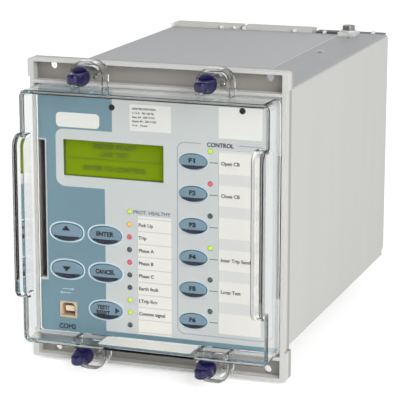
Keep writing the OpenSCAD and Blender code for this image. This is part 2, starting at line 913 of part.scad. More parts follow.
module key_up() { menu_key(0); }
module key_down() { menu_key(1); }
module key_enter() { menu_key(2); }
module key_cancel() { menu_key(3); }
module key_test() { menu_key(4); }
module key_f1() { func_key(0); }
module key_f2() { func_key(1); }
module key_f3() { func_key(2); }
module key_f4() { func_key(3); }
module key_f5() { func_key(4); }
module key_f6() { func_key(5); }

// Cover

// Outline of one grip rib in Y and Z, grown or shrunk by the wall
module grip_outline(wall, back) {
    half = grip_h / 2 - wall;
    round_rect(grip_y + wall, back, grip_z - half, grip_z + half, grip_r - wall);
}

// Lug outline above the cover, grown or shrunk by the wall
module lug_outline(wall) {
    half = lug_w / 2 - wall;
    round_rect(lug_x - half, lug_x + half, cover_z - 2 * lug_r, lug_z - wall, lug_r - wall);
}

module front_cover() {
    deep = cover_back - cover_t;
    in_x = cover_x - cover_t;
    in_z = cover_z - cover_t;
    bore_d = shank_d + 2 * shank_gap;
    color("white", 0.4) difference() {
        union() {
            prism_y(cover_y, cover_back) round_rect(-cover_x, cover_x, -cover_z, cover_z, cover_r);
            for (side = [0, 1]) mirror([side, 0, 0])
                prism_x(cover_x - grip_w, cover_x) grip_outline(0, deep);
            for (side = [-1, 1], end = [0, 1]) mirror([0, 0, end])
                translate([side * lug_x - lug_x, 0, 0]) prism_y(lug_y, cover_back) difference() {
                    lug_outline(0);
                    rect(0, 2 * lug_x, cover_z - 2 * lug_r - cut, cover_z - cover_t / 2);
                }
        }
        prism_y(cover_y + cover_t, cover_back + cut)
            round_rect(-in_x, in_x, -in_z, in_z, cover_r - cover_t);
        for (side = [0, 1]) mirror([side, 0, 0])
            prism_x(cover_x - grip_w + cover_t, in_x) grip_outline(cover_t, deep - cover_t);
        for (side = [-1, 1], end = [0, 1]) mirror([0, 0, end]) translate([side * lug_x, 0, 0]) {
            prism_y(lug_y + cover_t, cover_back + cut) difference() {
                translate([-lug_x, 0]) lug_outline(cover_t);
                rect(-lug_w, lug_w, 0, cover_z);
            }
            rod_y(knob_shift, knob_z, lug_y - cut, lug_y + cover_t + cut, bore_d);
            rod_y(seal_shift, knob_z, lug_y - cut, lug_y + cover_t + cut, seal_d);
        }
    }
}

// Fasteners

// Wing outline across the axis: tapered sides and a round tip
module wing_outline() {
    tip_r = wing_w / 2 - wing_taper;
    polygon([[-wing_w / 2, 0], [wing_w / 2, 0], [tip_r, wing_len - tip_r], [-tip_r, wing_len - tip_r]]);
    translate([0, wing_len - tip_r]) circle(tip_r);
}

// Turn fastener: wing, flange, shank and the collar that keeps it in its lug
module knob(side, end) {
    flange_y = lug_y - knob_flange_t;
    collar_y = lug_y + cover_t + stop_gap;
    translate([side * lug_x + knob_shift, 0, end * knob_z]) {
        rod_y(0, 0, flange_y, lug_y - knob_gap, knob_d);
        rod_y(0, 0, flange_y - hub_h, flange_y + knob_flange_t / 2, hub_d);
        rod_y(0, 0, flange_y, shank_end, shank_d);
        rod_y(0, 0, collar_y, collar_y + collar_t, collar_d);
        translate([0, flange_y, -wing_t / 2]) rotate([0, 0, 180])
            linear_extrude(height = wing_t) wing_outline();
    }
}

module knob_top_left() { color("midnightblue") knob(-1, 1); }
module knob_top_right() { color("midnightblue") knob(1, 1); }
module knob_bottom_left() { color("midnightblue") knob(-1, -1); }
module knob_bottom_right() { color("midnightblue") knob(1, -1); }

front_bezel();
case_wrap();
side_panel();
rear_plate();
terminal_block_left();
terminal_block_centre();
terminal_block_right();
terminal_screws();
earth_screw();
earth_washer();
case_rivets();
upper_guide_rails();
lower_guide_rails();
fascia_moulding();
fascia_overlay();
lcd_window();
lcd_frame();
lcd_glass();
keypad_board();
board_screws();
key_switches();
lamps_green();
lamps_amber();
lamps_red();
lamps_unlit();
port_shell();
port_tongue();
status_label_card();
control_label_card();
left_pull_handle();
right_pull_handle();
top_plate();
bottom_plate();
analogue_board();
processor_board();
power_board();
current_transformers();
output_relays();
power_transformer();
smoothing_capacitors();
processor_chips();
rear_connectors();
key_up();
key_down();
key_enter();
key_cancel();
key_test();
key_f1();
key_f2();
key_f3();
key_f4();
key_f5();
key_f6();
front_cover();
knob_top_left();
knob_top_right();
knob_bottom_left();
knob_bottom_right();
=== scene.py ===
import math

import bmesh
import bpy
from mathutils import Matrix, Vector


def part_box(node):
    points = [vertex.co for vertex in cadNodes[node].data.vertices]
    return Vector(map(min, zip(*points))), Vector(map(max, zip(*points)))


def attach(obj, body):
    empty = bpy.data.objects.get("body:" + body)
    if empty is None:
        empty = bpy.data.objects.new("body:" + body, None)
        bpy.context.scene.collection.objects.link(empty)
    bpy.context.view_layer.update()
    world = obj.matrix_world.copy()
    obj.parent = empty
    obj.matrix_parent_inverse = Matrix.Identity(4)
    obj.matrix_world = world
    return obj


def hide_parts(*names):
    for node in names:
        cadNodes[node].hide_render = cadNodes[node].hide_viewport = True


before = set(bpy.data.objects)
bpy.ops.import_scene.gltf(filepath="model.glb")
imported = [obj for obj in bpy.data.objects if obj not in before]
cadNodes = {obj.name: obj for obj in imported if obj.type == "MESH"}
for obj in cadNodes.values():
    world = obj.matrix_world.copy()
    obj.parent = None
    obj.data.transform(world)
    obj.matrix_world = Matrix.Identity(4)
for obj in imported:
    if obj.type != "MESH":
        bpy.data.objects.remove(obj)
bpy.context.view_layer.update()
scene = bpy.context.scene
mm = 0.001
nodeMerge, drawnMerge = 0.001 * mm, 0.002 * mm  # points nearer than this become one


def dropSelection():
    if bpy.context.object and bpy.context.object.mode != "OBJECT":
        bpy.ops.object.mode_set(mode="OBJECT")
    bpy.ops.object.select_all(action="DESELECT")


def pick(piece, *others):
    dropSelection()
    for item in (piece, *others):
        item.select_set(True)
    bpy.context.view_layer.objects.active = piece


def startEdit(piece, mode="FACE"):
    pick(piece)
    bpy.ops.object.mode_set(mode="EDIT")
    bpy.ops.mesh.select_mode(type=mode)
    bpy.ops.mesh.select_all(action="SELECT")


def endEdit():
    bpy.ops.object.mode_set(mode="OBJECT")


def selectFaces(piece, test):
    # works from edit mode and leaves it there
    bpy.ops.mesh.select_all(action="DESELECT")
    bpy.ops.object.mode_set(mode="OBJECT")
    for face in piece.data.polygons:
        face.select = test(face)
    bpy.ops.object.mode_set(mode="EDIT")


frontTilt = -0.9  # a face's normal along Y, from which it counts as the front


def facesFront(face):
    return face.normal.y < frontTilt


def addModifier(piece, kind, **settings):
    modifier = piece.modifiers.new(kind.lower(), kind)
    for key, value in settings.items():
        setattr(modifier, key, value)
    pick(piece)
    bpy.ops.object.modifier_apply(modifier=modifier.name)


def settle(piece):
    # place, turn and size go into the mesh
    pick(piece)
    bpy.ops.object.transform_apply(location=True, rotation=True, scale=True)


def smoothOver(degrees):
    bpy.ops.object.shade_smooth_by_angle(angle=math.radians(degrees))


def roundAll(piece, width, steps=2):
    startEdit(piece, "EDGE")
    bpy.ops.mesh.bevel(offset=width * mm, segments=steps, affect="EDGES")
    endEdit()


def addBlock(middle, size):
    dropSelection()
    bpy.ops.mesh.primitive_cube_add(size=1, location=middle)
    block = bpy.context.object
    block.scale = size
    settle(block)
    return block


def addDisc(x, y, z, radius, depth, sides, turn=0.0):
    # blank whose axis lies along Y
    dropSelection()
    bpy.ops.mesh.primitive_cylinder_add(vertices=sides, radius=radius * mm, depth=depth * mm,
                                        location=(x * mm, y * mm, z * mm), rotation=(math.pi / 2, turn, 0))
    disc = bpy.context.object
    settle(disc)
    return disc


def joinAs(pieces, name):
    pick(*pieces)
    if len(pieces) > 1:
        bpy.ops.object.join()
    piece = bpy.context.view_layer.objects.active
    piece.name = name
    settle(piece)
    return piece


def copyTo(piece, offset):
    twin = piece.copy()
    twin.data = piece.data.copy()
    scene.collection.objects.link(twin)
    twin.location = Vector(offset)
    return twin


def dress(piece, finish, body):
    if finish is not None:
        piece.data.materials.clear()
        piece.data.materials.append(finish)
    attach(piece, body)
    return piece


# Finishes

def tone(red, green, blue, gain=1.0):
    def straight(value):
        value = value / 255
        return value / 12.92 if value <= 0.04045 else ((value + 0.055) / 1.055) ** 2.4
    return (*(min(1.0, straight(c) * gain) for c in (red, green, blue)), 1.0)


def feed(tree, socket, value):
    if isinstance(value, bpy.types.NodeSocket):
        tree.links.new(value, socket)
    else:
        socket.default_value = value


def addNode(tree, kind, inputs=None, **settings):
    node = tree.nodes.new(kind)
    for key, value in settings.items():
        setattr(node, key, value)
    for key, value in (inputs or {}).items():
        feed(tree, node.inputs[key], value)
    return node


def mathNode(tree, operation, first, second=0.0):
    return addNode(tree, "ShaderNodeMath", {0: first, 1: second}, operation=operation).outputs[0]


def vectorNode(tree, operation, first, second=(0, 0, 0)):
    node = addNode(tree, "ShaderNodeVectorMath", {0: first, 1: second}, operation=operation)
    return node.outputs["Value"] if operation == "LENGTH" else node.outputs["Vector"]


def blendColour(tree, factor, first, second):
    node = tree.nodes.new("ShaderNodeMix")
    node.data_type = "RGBA"
    for index, value in ((0, factor), (6, first), (7, second)):
        feed(tree, node.inputs[index], value)
    return node.outputs[2]


def mottle(tree, patch, colour, dark, light):
    return blendColour(tree, patch, tone(*colour, dark), tone(*colour, light))


def spread(tree, value, low=0.0, high=1.0, start=0.0, end=1.0):
    # carries the span from start to end over to low and high
    node = addNode(tree, "ShaderNodeMapRange", {"Value": value, "From Min": start, "From Max": end,
                                                "To Min": low, "To Max": high})
    return node.outputs["Result"]


def along(tree, coords, axis):
    return addNode(tree, "ShaderNodeSeparateXYZ", {"Vector": coords}).outputs[axis]


def noise(tree, coords, size, detail=3.0, stretch=None):
    # size is the pattern's feature size in millimetres
    if stretch:
        coords = addNode(tree, "ShaderNodeMapping", {"Vector": coords, "Scale": stretch}).outputs["Vector"]
    return addNode(tree, "ShaderNodeTexNoise",
                   {"Vector": coords, "Scale": 1000.0 / size, "Detail": detail}).outputs["Fac"]


def startFinish(name):
    finish = bpy.data.materials.new(name)
    finish.use_nodes = True
    tree = finish.node_tree
    coords = addNode(tree, "ShaderNodeTexCoord").outputs["Object"]
    return finish, tree, tree.nodes["Principled BSDF"], coords


def addBump(tree, shader, height, depth):
    bump = addNode(tree, "ShaderNodeBump", {"Height": height, "Distance": depth * mm, "Strength": 1.0})
    feed(tree, shader.inputs["Normal"], bump.outputs["Normal"])


def addGrain(tree, shader, coords, size, depth, rough, stretch=None):
    # fine surface grain drives both the gloss and the bump
    grain = noise(tree, coords, size, detail=2.0, stretch=stretch)
    feed(tree, shader.inputs["Roughness"], spread(tree, grain, *rough))
    addBump(tree, shader, grain, depth)


wearSpan = {"start": 0.51, "end": 0.58}  # pointiness from flat to rubbed


def surface(name, colour, cloud=18, vary=0.06, grain=0.5, depth=0.004, rough=(0.4, 0.5), metal=0.0,
            stretch=None, wear=None, glow=0.0):
    # cloud, grain and depth are in millimetres
    finish, tree, shader, coords = startFinish(name)
    shade = mottle(tree, noise(tree, coords, cloud), colour, 1 - vary, 1 + vary)
    if wear:
        # edges rub lighter
        edge = addNode(tree, "ShaderNodeNewGeometry").outputs["Pointiness"]
        shade = blendColour(tree, spread(tree, edge, **wearSpan), shade, tone(*wear))
    feed(tree, shader.inputs["Base Color"], shade)
    shader.inputs["Metallic"].default_value = metal
    if glow:
        feed(tree, shader.inputs["Emission Color"], shade)
        shader.inputs["Emission Strength"].default_value = glow
    addGrain(tree, shader, coords, grain, depth, rough, stretch)
    return finish


def areaMask(tree, coords, box, corner=0.01, line=0.0):
    # 1 inside a rounded rectangle in X and Z, or on its outline where a line width is given
    x0, x1, z0, z1 = (value * mm for value in box)
    corner = corner * mm
    flat = vectorNode(tree, "MULTIPLY", coords, (1, 0, 1))
    place = vectorNode(tree, "SUBTRACT", flat, ((x0 + x1) / 2, 0, (z0 + z1) / 2))
    reach = ((x1 - x0) / 2 - corner, 0, (z1 - z0) / 2 - corner)
    past = vectorNode(tree, "SUBTRACT", vectorNode(tree, "ABSOLUTE", place), reach)
    far = vectorNode(tree, "LENGTH", vectorNode(tree, "MAXIMUM", past, (0, 0, 0)))
    if not line:
        return mathNode(tree, "LESS_THAN", far, corner)
    rim = mathNode(tree, "ABSOLUTE", mathNode(tree, "SUBTRACT", far, corner - line * mm / 2))
    return mathNode(tree, "LESS_THAN", rim, line * mm / 2)


def letThrough(tree, shader, tint):
    # lamps shine through clear pieces
    rays = addNode(tree, "ShaderNodeLightPath").outputs["Is Shadow Ray"]
    clear = addNode(tree, "ShaderNodeBsdfTransparent", {"Color": tint})
    both = addNode(tree, "ShaderNodeMixShader", {0: rays, 1: shader.outputs[0], 2: clear.outputs[0]})
    feed(tree, tree.nodes["Material Output"].inputs["Surface"], both.outputs[0])


clearLook = {"smear": 30, "dull": 0.985, "rough": (0.0, 0.02), "swell": 45, "ripple": 0.002, "index": 1.49}


def clearPlastic(name, colour, glint=0.06):
    look = clearLook
    finish, tree, shader, coords = startFinish(name)
    smear = noise(tree, coords, look["smear"])
    feed(tree, shader.inputs["Base Color"], mottle(tree, smear, colour, look["dull"], 1.0))
    feed(tree, shader.inputs["Roughness"], spread(tree, smear, *look["rough"]))
    addBump(tree, shader, noise(tree, coords, look["swell"], detail=1.0), look["ripple"])
    shader.inputs["Transmission Weight"].default_value = 1.0
    shader.inputs["IOR"].default_value = look["index"]
    shader.inputs["Specular Tint"].default_value = (glint, glint, glint, 1)
    letThrough(tree, shader, tone(*colour))
    return finish


finishLook = {
    "caseSheet": dict(colour=(145, 148, 152), cloud=60, vary=0.05, grain=1.2, depth=0.003, rough=(0.42, 0.56),
                      metal=0.25, stretch=(1, 0.08, 1), wear=(196, 198, 200)),
    "blockPale": dict(colour=(206, 205, 200), cloud=25, vary=0.03, rough=(0.45, 0.55)),
    "tabWhite": dict(colour=(240, 240, 238), cloud=6, vary=0.02, rough=(0.4, 0.5)),
    "blockDark": dict(colour=(92, 93, 97), cloud=25, vary=0.08, rough=(0.45, 0.6)),
    "brass": dict(colour=(186, 160, 100), cloud=4, vary=0.12, grain=0.4, rough=(0.22, 0.38), metal=1.0),
    "zinc": dict(colour=(190, 192, 192), cloud=5, vary=0.12, rough=(0.25, 0.42), metal=0.9),
    "tinPlate": dict(colour=(226, 226, 222), cloud=5, vary=0.05, rough=(0.35, 0.5), metal=0.2),
    "fasciaPlastic": dict(colour=(208, 210, 211), vary=0.03),
    "board": dict(colour=(24, 84, 52), cloud=9, vary=0.25, grain=0.8, depth=0.02, rough=(0.3, 0.5)),
    "blackPlastic": dict(colour=(18, 19, 21), cloud=10, vary=0.15, rough=(0.4, 0.6)),
    "handlePlastic": dict(colour=(126, 118, 122), cloud=20, vary=0.12, rough=(0.4, 0.55)),
    "lampGreen": dict(colour=(190, 212, 66), cloud=2, vary=0.1, rough=(0.15, 0.25), glow=0.2),
    "lampAmber": dict(colour=(236, 178, 96), cloud=2, vary=0.1, rough=(0.15, 0.25), glow=0.25),
    "lampRed": dict(colour=(208, 88, 108), cloud=2, vary=0.12, rough=(0.15, 0.25), glow=0.2),
    "lampUnlit": dict(colour=(82, 84, 90), cloud=2, vary=0.15, rough=(0.2, 0.32)),
    "portShell": dict(colour=(206, 186, 160), cloud=6, rough=(0.35, 0.5)),
    "portTongue": dict(colour=(246, 228, 200), cloud=4, vary=0.05),
    "winding": dict(colour=(150, 96, 40), cloud=3, vary=0.25, grain=0.9, depth=0.05, rough=(0.3, 0.5),
                    stretch=(1, 1, 0.2)),
    "relayBlue": dict(colour=(36, 48, 92), cloud=12, vary=0.08, rough=(0.3, 0.45)),
    "capSleeve": dict(colour=(44, 46, 70), cloud=8, vary=0.1, rough=(0.25, 0.4)),
    "keyBlue": dict(colour=(116, 143, 161), cloud=8, vary=0.05, grain=0.4, rough=(0.34, 0.44)),
    "keyNavy": dict(colour=(8, 20, 46), cloud=5, vary=0.12, rough=(0.35, 0.45)),
    "ringPale": dict(colour=(204, 224, 234), cloud=5, vary=0.04, rough=(0.3, 0.42)),
    "knobViolet": dict(colour=(24, 18, 74), cloud=6, vary=0.16, grain=0.6, rough=(0.14, 0.24)),
    "nickel": dict(colour=(150, 150, 146), cloud=4, vary=0.14, rough=(0.25, 0.4), metal=0.9),
    "keyInk": dict(colour=(8, 13, 27), cloud=3, vary=0.12, rough=(0.45, 0.6)),
    "inkDark": dict(colour=(18, 18, 22), cloud=3, vary=0.12, rough=(0.45, 0.6)),
    "inkNavy": dict(colour=(28, 34, 70), cloud=3, vary=0.12, rough=(0.45, 0.6)),
    "inkSlate": dict(colour=(104, 114, 130), cloud=3, vary=0.1, rough=(0.45, 0.6)),
    "inkPort": dict(colour=(10, 22, 42), cloud=3, vary=0.1, rough=(0.45, 0.6)),
    "inkPale": dict(colour=(176, 202, 214), cloud=3, rough=(0.45, 0.6)),
    "lcdInk": dict(colour=(54, 70, 2), cloud=2, vary=0.1, rough=(0.5, 0.6)),
    "paper": dict(colour=(232, 231, 228), cloud=10, vary=0.02, rough=(0.5, 0.65)),
}
finishes = {name: surface(name, **look) for name, look in finishLook.items()}
finishes["coverClear"] = clearPlastic("coverClear", (252, 252, 251))
# darker tint on the cover's bevelled edges: painted dark reflection along them
finishes["coverEdgeDarkReflection"] = clearPlastic("coverEdgeDarkReflection", (124, 128, 133))
finishes["windowClear"] = clearPlastic("windowClear", (246, 250, 246), glint=0.0)


def framePlastic():
    # pale moulding, darker and warmer towards the channel floors: painted shade in the channels
    look = {"cloud": 30, "pale": (206, 206, 203), "paleVary": (0.97, 1.03), "floor": (154, 150, 144),
            "floorVary": (0.92, 1.08), "rimY": -5.5, "floorY": -3.2, "grain": (0.6, 0.003, (0.3, 0.42))}
    finish, tree, shader, coords = startFinish("framePlastic")
    patch = noise(tree, coords, look["cloud"])
    pale = mottle(tree, patch, look["pale"], *look["paleVary"])
    floor = mottle(tree, patch, look["floor"], *look["floorVary"])
    # ramps to the darker tone with depth: painted shade
    channelShade = spread(tree, along(tree, coords, "Y"), start=look["rimY"] * mm, end=look["floorY"] * mm)
    feed(tree, shader.inputs["Base Color"], blendColour(tree, channelShade, pale, floor))
    addGrain(tree, shader, coords, *look["grain"])
    return finish


def sidePaint():
    # case sheet, lighter on the side face: painted light on the lit side
    look = {"streak": 14, "stretch": (1, 1, 0.12), "side": (200, 200, 196), "sideVary": (0.965, 1.035),
            "flange": (170, 173, 176), "flangeVary": (0.95, 1.05), "edge": (214, 216, 217),
            "flangeZ": 76.9, "edgeX": 45.7, "grain": (0.6, 0.004, (0.42, 0.55))}
    finish, tree, shader, coords = startFinish("sidePaint")
    streak = noise(tree, coords, look["streak"], stretch=look["stretch"])
    side = mottle(tree, streak, look["side"], *look["sideVary"])
    flange = mottle(tree, streak, look["flange"], *look["flangeVary"])
    # the flange's top darker: painted shade of a top face
    top = mathNode(tree, "GREATER_THAN", along(tree, coords, "Z"), look["flangeZ"] * mm)
    # a paler strip along the flange's edge: painted highlight
    edgeHighlight = mathNode(tree, "LESS_THAN", along(tree, coords, "X"), look["edgeX"] * mm)
    shade = blendColour(tree, top, side, flange)
    feed(tree, shader.inputs["Base Color"], blendColour(tree, edgeHighlight, shade, tone(*look["edge"])))
    addGrain(tree, shader, coords, *look["grain"])
    return finish


def overlayFilm():
    look = {
        "cloud": 40, "grey": (198, 203, 204), "greyVary": (0.985, 1.015), "blue": (108, 140, 154),
        "blueVary": (0.95, 1.06), "white": (226, 227, 224), "line": (150, 160, 172),
        "blueAreas": [(-90, -26.8, 46.6, 90), (-90, -31.6, -90, 14.9), (-90, -58, 10, 50),
                      (-90, 90, -90, -69.6)],
        "displayFrame": (-61.7, 9.6, 15.4, 48.4), "displayCorner": 4.5,
        "whiteAreas": [((-61.3, -34.5, 49.5, 58), 2.6), ((-16, 8.8, 49.9, 65), 0.4),
                       ((37, 62.6, 49, 66.5), 0.4)],
        "controlFrame": (12.3, 67.2, -66.5, 45.6), "controlCorner": 4.5, "controlLine": 0.55,
        "headingGap": (26.5, 49, 43, 48), "grain": (0.5, 0.002, (0.36, 0.46)),
    }
    finish, tree, shader, coords = startFinish("overlayFilm")
    patch = noise(tree, coords, look["cloud"])
    shade = mottle(tree, patch, look["grey"], *look["greyVary"])
    blue = mottle(tree, patch, look["blue"], *look["blueVary"])
    for box in look["blueAreas"]:
        shade = blendColour(tree, areaMask(tree, coords, box), shade, blue)
    surround = areaMask(tree, coords, look["displayFrame"], look["displayCorner"])
    shade = blendColour(tree, surround, shade, tone(*look["grey"]))
    for box, corner in look["whiteAreas"]:
        shade = blendColour(tree, areaMask(tree, coords, box, corner), shade, tone(*look["white"]))
    line = areaMask(tree, coords, look["controlFrame"], look["controlCorner"], look["controlLine"])
    gap = areaMask(tree, coords, look["headingGap"])
    line = mathNode(tree, "MULTIPLY", line, mathNode(tree, "SUBTRACT", 1.0, gap))
    feed(tree, shader.inputs["Base Color"], blendColour(tree, line, shade, tone(*look["line"])))
    addGrain(tree, shader, coords, *look["grain"])
    return finish


cardLook = {"fibre": 6, "vary": (0.985, 1.015), "grain": (0.8, 0.003, (0.5, 0.62))}


def labelCard(name, firstRow, step, window, paper, gapTone):
    # paper strip with a paler window at each row
    look = cardLook
    finish, tree, shader, coords = startFinish(name)
    drop = mathNode(tree, "SUBTRACT", along(tree, coords, "Z"), firstRow * mm)
    turns = mathNode(tree, "DIVIDE", drop, step * mm)
    near = mathNode(tree, "ABSOLUTE", mathNode(tree, "SUBTRACT", turns, mathNode(tree, "ROUND", turns)))
    outside = mathNode(tree, "GREATER_THAN", near, window / 2 / step)
    bright = mottle(tree, noise(tree, coords, look["fibre"]), paper, *look["vary"])
    feed(tree, shader.inputs["Base Color"], blendColour(tree, outside, bright, tone(*gapTone)))
    addGrain(tree, shader, coords, *look["grain"])
    return finish


def displayGlow():
    # yellow-green display with a painted glow that lifts the recess's shade, and a darker border: painted
    # shadow of the recess
    look = {"cloud": 26, "bright": (126, 148, 0), "vary": (0.93, 1.07), "dim": (88, 104, 0), "glow": 0.18,
            "litArea": (-56.3, 3.5, 21.9, 41.5), "corner": 0.6, "glint": 0.02,
            "grain": (0.6, 0.001, (0.3, 0.4))}
    finish, tree, shader, coords = startFinish("displayGlow")
    inner = areaMask(tree, coords, look["litArea"], look["corner"])
    bright = mottle(tree, noise(tree, coords, look["cloud"]), look["bright"], *look["vary"])
    shade = blendColour(tree, inner, tone(*look["dim"]), bright)
    feed(tree, shader.inputs["Base Color"], shade)
    feed(tree, shader.inputs["Emission Color"], shade)
    shader.inputs["Emission Strength"].default_value = look["glow"]
    shader.inputs["Specular IOR Level"].default_value = look["glint"]
    addGrain(tree, shader, coords, *look["grain"])
    return finish


# Where the fascia's rows lie, in millimetres
rows = {"statusX": -16.79, "statusTop": 2.9, "statusStep": 7.487, "functionX": 22.01, "functionTop": 34.8,
        "functionStep": 18.56, "lampRight": 10.0, "lampUp": 6.4, "overlayY": -7.5, "cardY": -7.4}

finishes["framePlastic"] = framePlastic()
finishes["sidePaint"] = sidePaint()
finishes["overlayFilm"] = overlayFilm()
finishes["statusCard"] = labelCard("statusCard", rows["statusTop"], rows["statusStep"], window=6.9,
                                   paper=(230, 229, 225), gapTone=(206, 206, 204))
finishes["controlCard"] = labelCard("controlCard", rows["functionTop"], rows["functionStep"], window=12.0,
                                    paper=(229, 228, 224), gapTone=(214, 215, 215))
finishes["displayGlow"] = displayGlow()
print("finishes", len(finishes))

# CAD nodes that stay as they are get their finish here
plainNodes = {
    "rear_plate": "caseSheet", "terminal_screws": "brass", "case_rivets": "zinc",
    "upper_guide_rails": "zinc", "lower_guide_rails": "zinc", "fascia_overlay": "overlayFilm",
    "lcd_frame": "blackPlastic", "lcd_glass": "displayGlow", "keypad_board": "board",
    "board_screws": "zinc", "key_switches": "blackPlastic", "status_label_card": "statusCard",
    "control_label_card": "controlCard", "port_tongue": "portTongue", "top_plate": "zinc",
    "bottom_plate": "zinc", "analogue_board": "board", "processor_board": "board", "power_board": "board",
    "current_transformers": "winding", "smoothing_capacitors": "capSleeve", "processor_chips": "blackPlastic",
}
for node, finish in plainNodes.items():
    cadNodes[node].data.materials.clear()
    cadNodes[node].data.materials.append(finishes[finish])


# CAD nodes with their sharp edges rounded

easeLook = {"sharp": 38, "flat": 0.05, "steps": 2, "smooth": 42, "weight": 80}


def weighEdges(piece, skip):
    # only edges that stand outwards are rounded
    shape = bmesh.new()
    shape.from_mesh(piece.data)
    weight = shape.edges.layers.float.new("bevel_weight_edge")
    sharp = math.radians(easeLook["sharp"])
    for edge in shape.edges:
        outward = len(edge.link_faces) == 2 and edge.calc_face_angle_signed() > sharp
        if outward and not (skip and skip((edge.verts[0].co + edge.verts[1].co) / 2)):
            edge[weight] = 1.0
    shape.to_mesh(piece.data)
    shape.free()


def easeNode(node, pieceName, body, slotName, finish, width, first=None, skip=None, edgeFinish=None):
    piece = bpy.data.objects.new(pieceName, cadNodes[node].data.copy())
    scene.collection.objects.link(piece)
    piece.data.materials.clear()
    for look in (finish, edgeFinish):
        if look:
            piece.data.materials.append(finishes[look])
    startEdit(piece)
    bpy.ops.mesh.remove_doubles(threshold=nodeMerge)
    bpy.ops.mesh.dissolve_limited(angle_limit=math.radians(easeLook["flat"]))
    endEdit()
    if first:
        first(piece)
    weighEdges(piece, skip)
    addModifier(piece, "BEVEL", width=width * mm, segments=easeLook["steps"], limit_method="WEIGHT",
                use_clamp_overlap=False, material=1 if edgeFinish else -1)
    pick(piece)
    smoothOver(easeLook["smooth"])
    addModifier(piece, "WEIGHTED_NORMAL", keep_sharp=True, weight=easeLook["weight"])
    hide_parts(node)
    return dress(piece, None, body)


webLook = {"faces": (-3.0, 0.0), "within": 0.01}


def onWeb(middle):
    # rims in the frame's web, where holes lie close to the channel walls
    return any(abs(middle.y - y * mm) < webLook["within"] * mm for y in webLook["faces"])


# node, piece, body, slot, finish and edge width, then a first step, edges to skip and an edge finish
easedNodes = [
    ("front_bezel", "frontFrame", "case", "frame_plastic", "framePlastic", 0.3, None, onWeb),
    ("case_wrap", "caseWrap", "case", "case_sheet", "caseSheet", 0.25),
    ("side_panel", "sidePanel", "case", "case_sheet", "sidePaint", 0.25),
    ("terminal_block_left", "terminalBlockLeft", "case", "terminal_plastic", "blockPale", 0.3),
    ("terminal_block_centre", "terminalBlockCentre", "case", "terminal_plastic", "blockPale", 0.3),
    ("terminal_block_right", "terminalBlockRight", "case", "terminal_plastic_dark", "blockDark", 0.3),
    ("earth_screw", "earthScrew", "case", "plated_brass", "nickel", 0.25),
    ("earth_washer", "earthWasher", "case", "plated_steel", "tinPlate", 0.2),
    ("fascia_moulding", "fasciaMoulding", "element", "fascia_plastic", "fasciaPlastic", 0.25),
    ("left_pull_handle", "leftPullHandle", "element", "black_plastic", "handlePlastic", 0.2),
    ("right_pull_handle", "rightPullHandle", "element", "black_plastic", "handlePlastic", 0.2),
    ("port_shell", "portShell", "element", "port_beige", "portShell", 0.2),
    ("output_relays", "outputRelays", "element", "relay_blue", "relayBlue", 0.5),
    ("power_transformer", "powerTransformer", "element", "winding", "winding", 0.4),
    ("rear_connectors", "rearConnectors", "element", "terminal_plastic", "blockPale", 0.4),
    # the cover's bevels take the darker edge finish: painted dark reflection
    ("front_cover", "frontCover", "cover", "clear_cover", "coverClear", 0.4, None, None, "coverEdgeDarkReflection"),
]
for row in easedNodes:
    easeNode(*row)
print("eased nodes", len(easedNodes))


# Turn fasteners: violet wings on plated shanks

knobLook = {"corners": ("top_left", "top_right", "bottom_left", "bottom_right"), "edge": 0.15,
            "round": 1.7, "steps": 4, "wing": 3.0, "wingWithin": 0.02, "levelWithin": 0.01,
            "root": -24.2, "flangeBack": -20.0}


def roundWing(knob):
    # the wing's two long rims become soft curves
    look = knobLook
    points = knob.data.vertices
    heights = [point.co.z for point in points]
    centre = (min(heights) + max(heights)) / 2
    startEdit(knob, "EDGE")
    bpy.ops.mesh.select_all(action="DESELECT")
    endEdit()
    for edge in knob.data.edges:
        ends = [points[i].co for i in edge.vertices]
        onRim = all(abs(abs(end.z - centre) - look["wing"] * mm) < look["wingWithin"] * mm for end in ends)
        level = abs(ends[0].z - ends[1].z) < look["levelWithin"] * mm
        edge.select = onRim and level and (ends[0].y + ends[1].y) / 2 < look["root"] * mm
    bpy.ops.object.mode_set(mode="EDIT")
    bpy.ops.mesh.bevel(offset=look["round"] * mm, segments=look["steps"], affect="EDGES",
                       clamp_overlap=False)
    endEdit()


for corner in knobLook["corners"]:
    pieceName = "knob" + "".join(word.title() for word in corner.split("_"))
    knob = easeNode("knob_" + corner, pieceName, "knob_" + corner, "knob_violet", "knobViolet",
                    knobLook["edge"], roundWing)
    knob.data.materials.append(finishes["zinc"])
    for face in knob.data.polygons:
        if face.center.y > knobLook["flangeBack"] * mm:
            face.material_index = 1
print("fasteners", len(knobLook["corners"]))


# Keys: eased, with the dark band cut into the lower edge of each face

keyNames = ["up", "down", "enter", "cancel", "test", "f1", "f2", "f3", "f4", "f5", "f6"]
keyLook = {"band": 0.56, "edge": 0.15, "faceTilt": 0.7, "faceDepth": 1.0, "menu": 10.2, "function": 8.6}


def keyKind(name):
    return "function" if name[0] == "f" else "menu"


def keyCentre(name):
    low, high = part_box("key_" + name)
    return (low + high) / 2


def makeKey(name):
    look = keyLook
    node = "key_" + name
    piece = easeNode(node, "key" + name.title(), node, "key_blue", "keyBlue", look["edge"])
    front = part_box(node)[0].y + look["faceDepth"] * mm
    middle = keyCentre(name)
    cut = middle.z - look[keyKind(name)] * mm / 2 * (1 - look["band"])
    startEdit(piece)
    bpy.ops.mesh.bisect(plane_co=(middle.x, middle.y, cut), plane_no=(0, 0, 1))
    endEdit()
    piece.data.materials.append(finishes["keyNavy"])
    for face in piece.data.polygons:
        if face.center.y < front and face.normal.y < -look["faceTilt"] and face.center.z < cut:
            face.material_index = 1
    return piece


keys = {name: makeKey(name) for name in keyNames}
print("keys", len(keys))


# Rings round the keys, a flattened bead set in the film

ringLook = {"menu": (21.3, 11.7, 0.46), "function": (17.6, 9.8, 0.3), "sides": 3, "steps": 16, "flat": 0.55}


